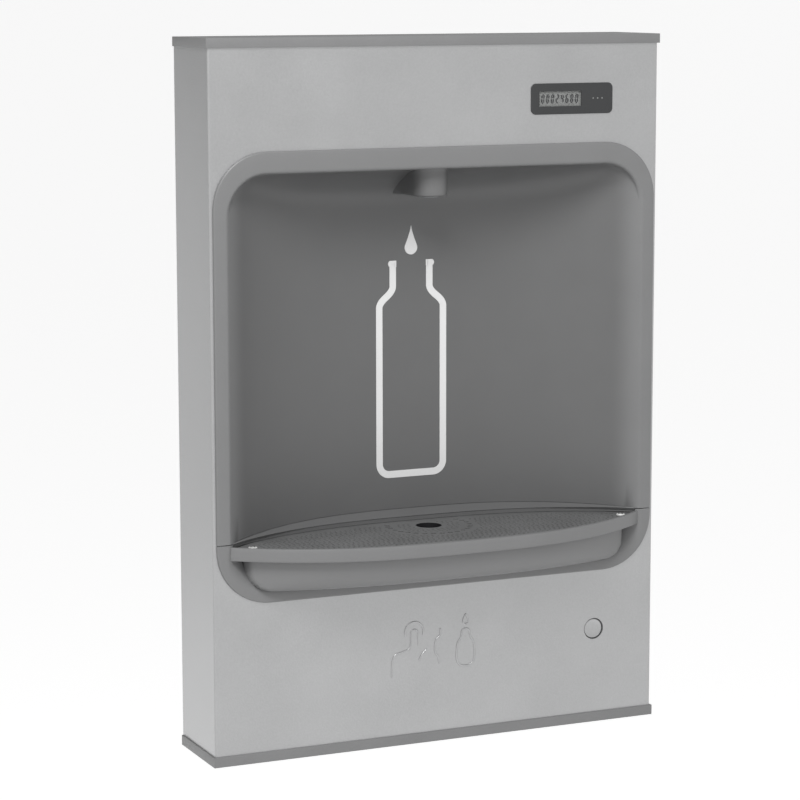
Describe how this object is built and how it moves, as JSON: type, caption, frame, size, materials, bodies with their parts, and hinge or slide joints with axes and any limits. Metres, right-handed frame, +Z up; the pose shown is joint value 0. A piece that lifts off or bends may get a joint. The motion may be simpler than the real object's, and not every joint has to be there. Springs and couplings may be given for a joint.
{
  "type": "wall-hung bottle filling fountain",
  "caption": "Wall-hung drinking fountain for filling bottles: shallow stainless cabinet, bowed alcove with nozzle, drip basin with grille, bottle counter and push button.",
  "frame": {"origin": "middle of the rear wall face, half way up the cabinet", "axes": "+X right as the user faces it, -Y out of the wall towards the user, +Z up"},
  "size_m": [0.457, 0.149, 0.663],
  "materials": {
    "stainless": "fine satin grain, horizontal on the front",
    "zinc_plate": "zinc plated",
    "grey_cap": "satin grey",
    "screw_steel": "bright",
    "clip_steel": "satin",
    "grey_moulding": "fine moulded texture, satin",
    "dark_grille": "satin",
    "white_mark": "semi-gloss printed white",
    "nozzle_plastic": "satin",
    "seal_rubber": "matte",
    "brass": "machined",
    "copper_tube": "drawn copper",
    "black_plastic": "satin",
    "cover_plastic": "satin",
    "drain_steel": "satin",
    "drain_plastic": "moulded white",
    "counter_frame": "semi-gloss",
    "counter_glass": "clear",
    "lcd": "grey liquid-crystal panel",
    "board_green": "solder mask",
    "light_plastic": "translucent, unlit",
    "cell_wrap": "printed sleeve",
    "button_metal": "satin",
    "rod_steel": "ground",
    "spring_steel": "drawn wire",
    "rotor_plastic": "moulded"
  },
  "bodies": {
    "cabinet": {"front_wrapper": "stainless", "back_plate": "zinc_plate", "top_cap": "grey_cap", "bottom_cap": "grey_cap", "top_cap_screws": "screw_steel", "bottom_cap_screws": "screw_steel", "alcove_liner": "grey_moulding", "liner_clips": "clip_steel", "basin": "grey_moulding", "basin_clips": "clip_steel", "grille": "dark_grille", "grille_screws": "screw_steel", "bottle_mark": "white_mark", "drop_mark": "white_mark", "nozzle": "nozzle_plastic", "nozzle_seal": "seal_rubber", "nozzle_nut": "brass", "spout_tube": "copper_tube", "tube_elbow": "brass", "riser_tube": "copper_tube", "tube_clips": "black_plastic", "tube_nuts": "brass", "link_tube": "copper_tube", "inlet_tube": "copper_tube", "drain_strainer": "drain_steel", "drain_gasket": "seal_rubber", "drain_locknut": "drain_steel", "drain_pipe": "drain_plastic", "display_frame": "counter_frame", "display_lens": "counter_glass", "lcd_panel": "lcd", "display_board": "board_green", "display_housing": "black_plastic", "indicator_lights": "light_plastic", "battery_holder": "black_plastic", "battery_cells": "cell_wrap", "button_bush": "black_plastic", "return_spring": "spring_steel", "valve_body": "brass", "valve_bonnet": "brass", "valve_spring": "spring_steel", "valve_bracket": "zinc_plate", "flow_sensor_body": "black_plastic", "flow_sensor_cover": "cover_plastic", "rotor_axle": "rod_steel"},
    "button": {"button_cap": "button_metal", "push_rod": "rod_steel"},
    "stem": {"valve_stem": "rod_steel"},
    "rotor": {"flow_rotor": "rotor_plastic"}
  },
  "joints": [
    {"name": "button_push", "type": "slide", "parent": "cabinet", "child": "button", "axis": [0, 1, 0], "range_m": [0, 0.005], "stiffness_N_per_m": 800, "springref_m": -0.006, "deforming": ["return_spring"]},
    {"name": "stem_push", "type": "slide", "parent": "cabinet", "child": "stem", "axis": [0, 1, 0], "range_m": [0, 0.005], "deforming": ["valve_spring"]},
    {"name": "rotor_spin", "type": "hinge", "parent": "cabinet", "child": "rotor", "pos_m": [0.105, -0.029, -0.2392], "axis": [0, 1, 0], "continuous": true}
  ],
  "couplings": [
    {"joint": "stem_push", "follows": "button_push", "ratio": 1}
  ]
}
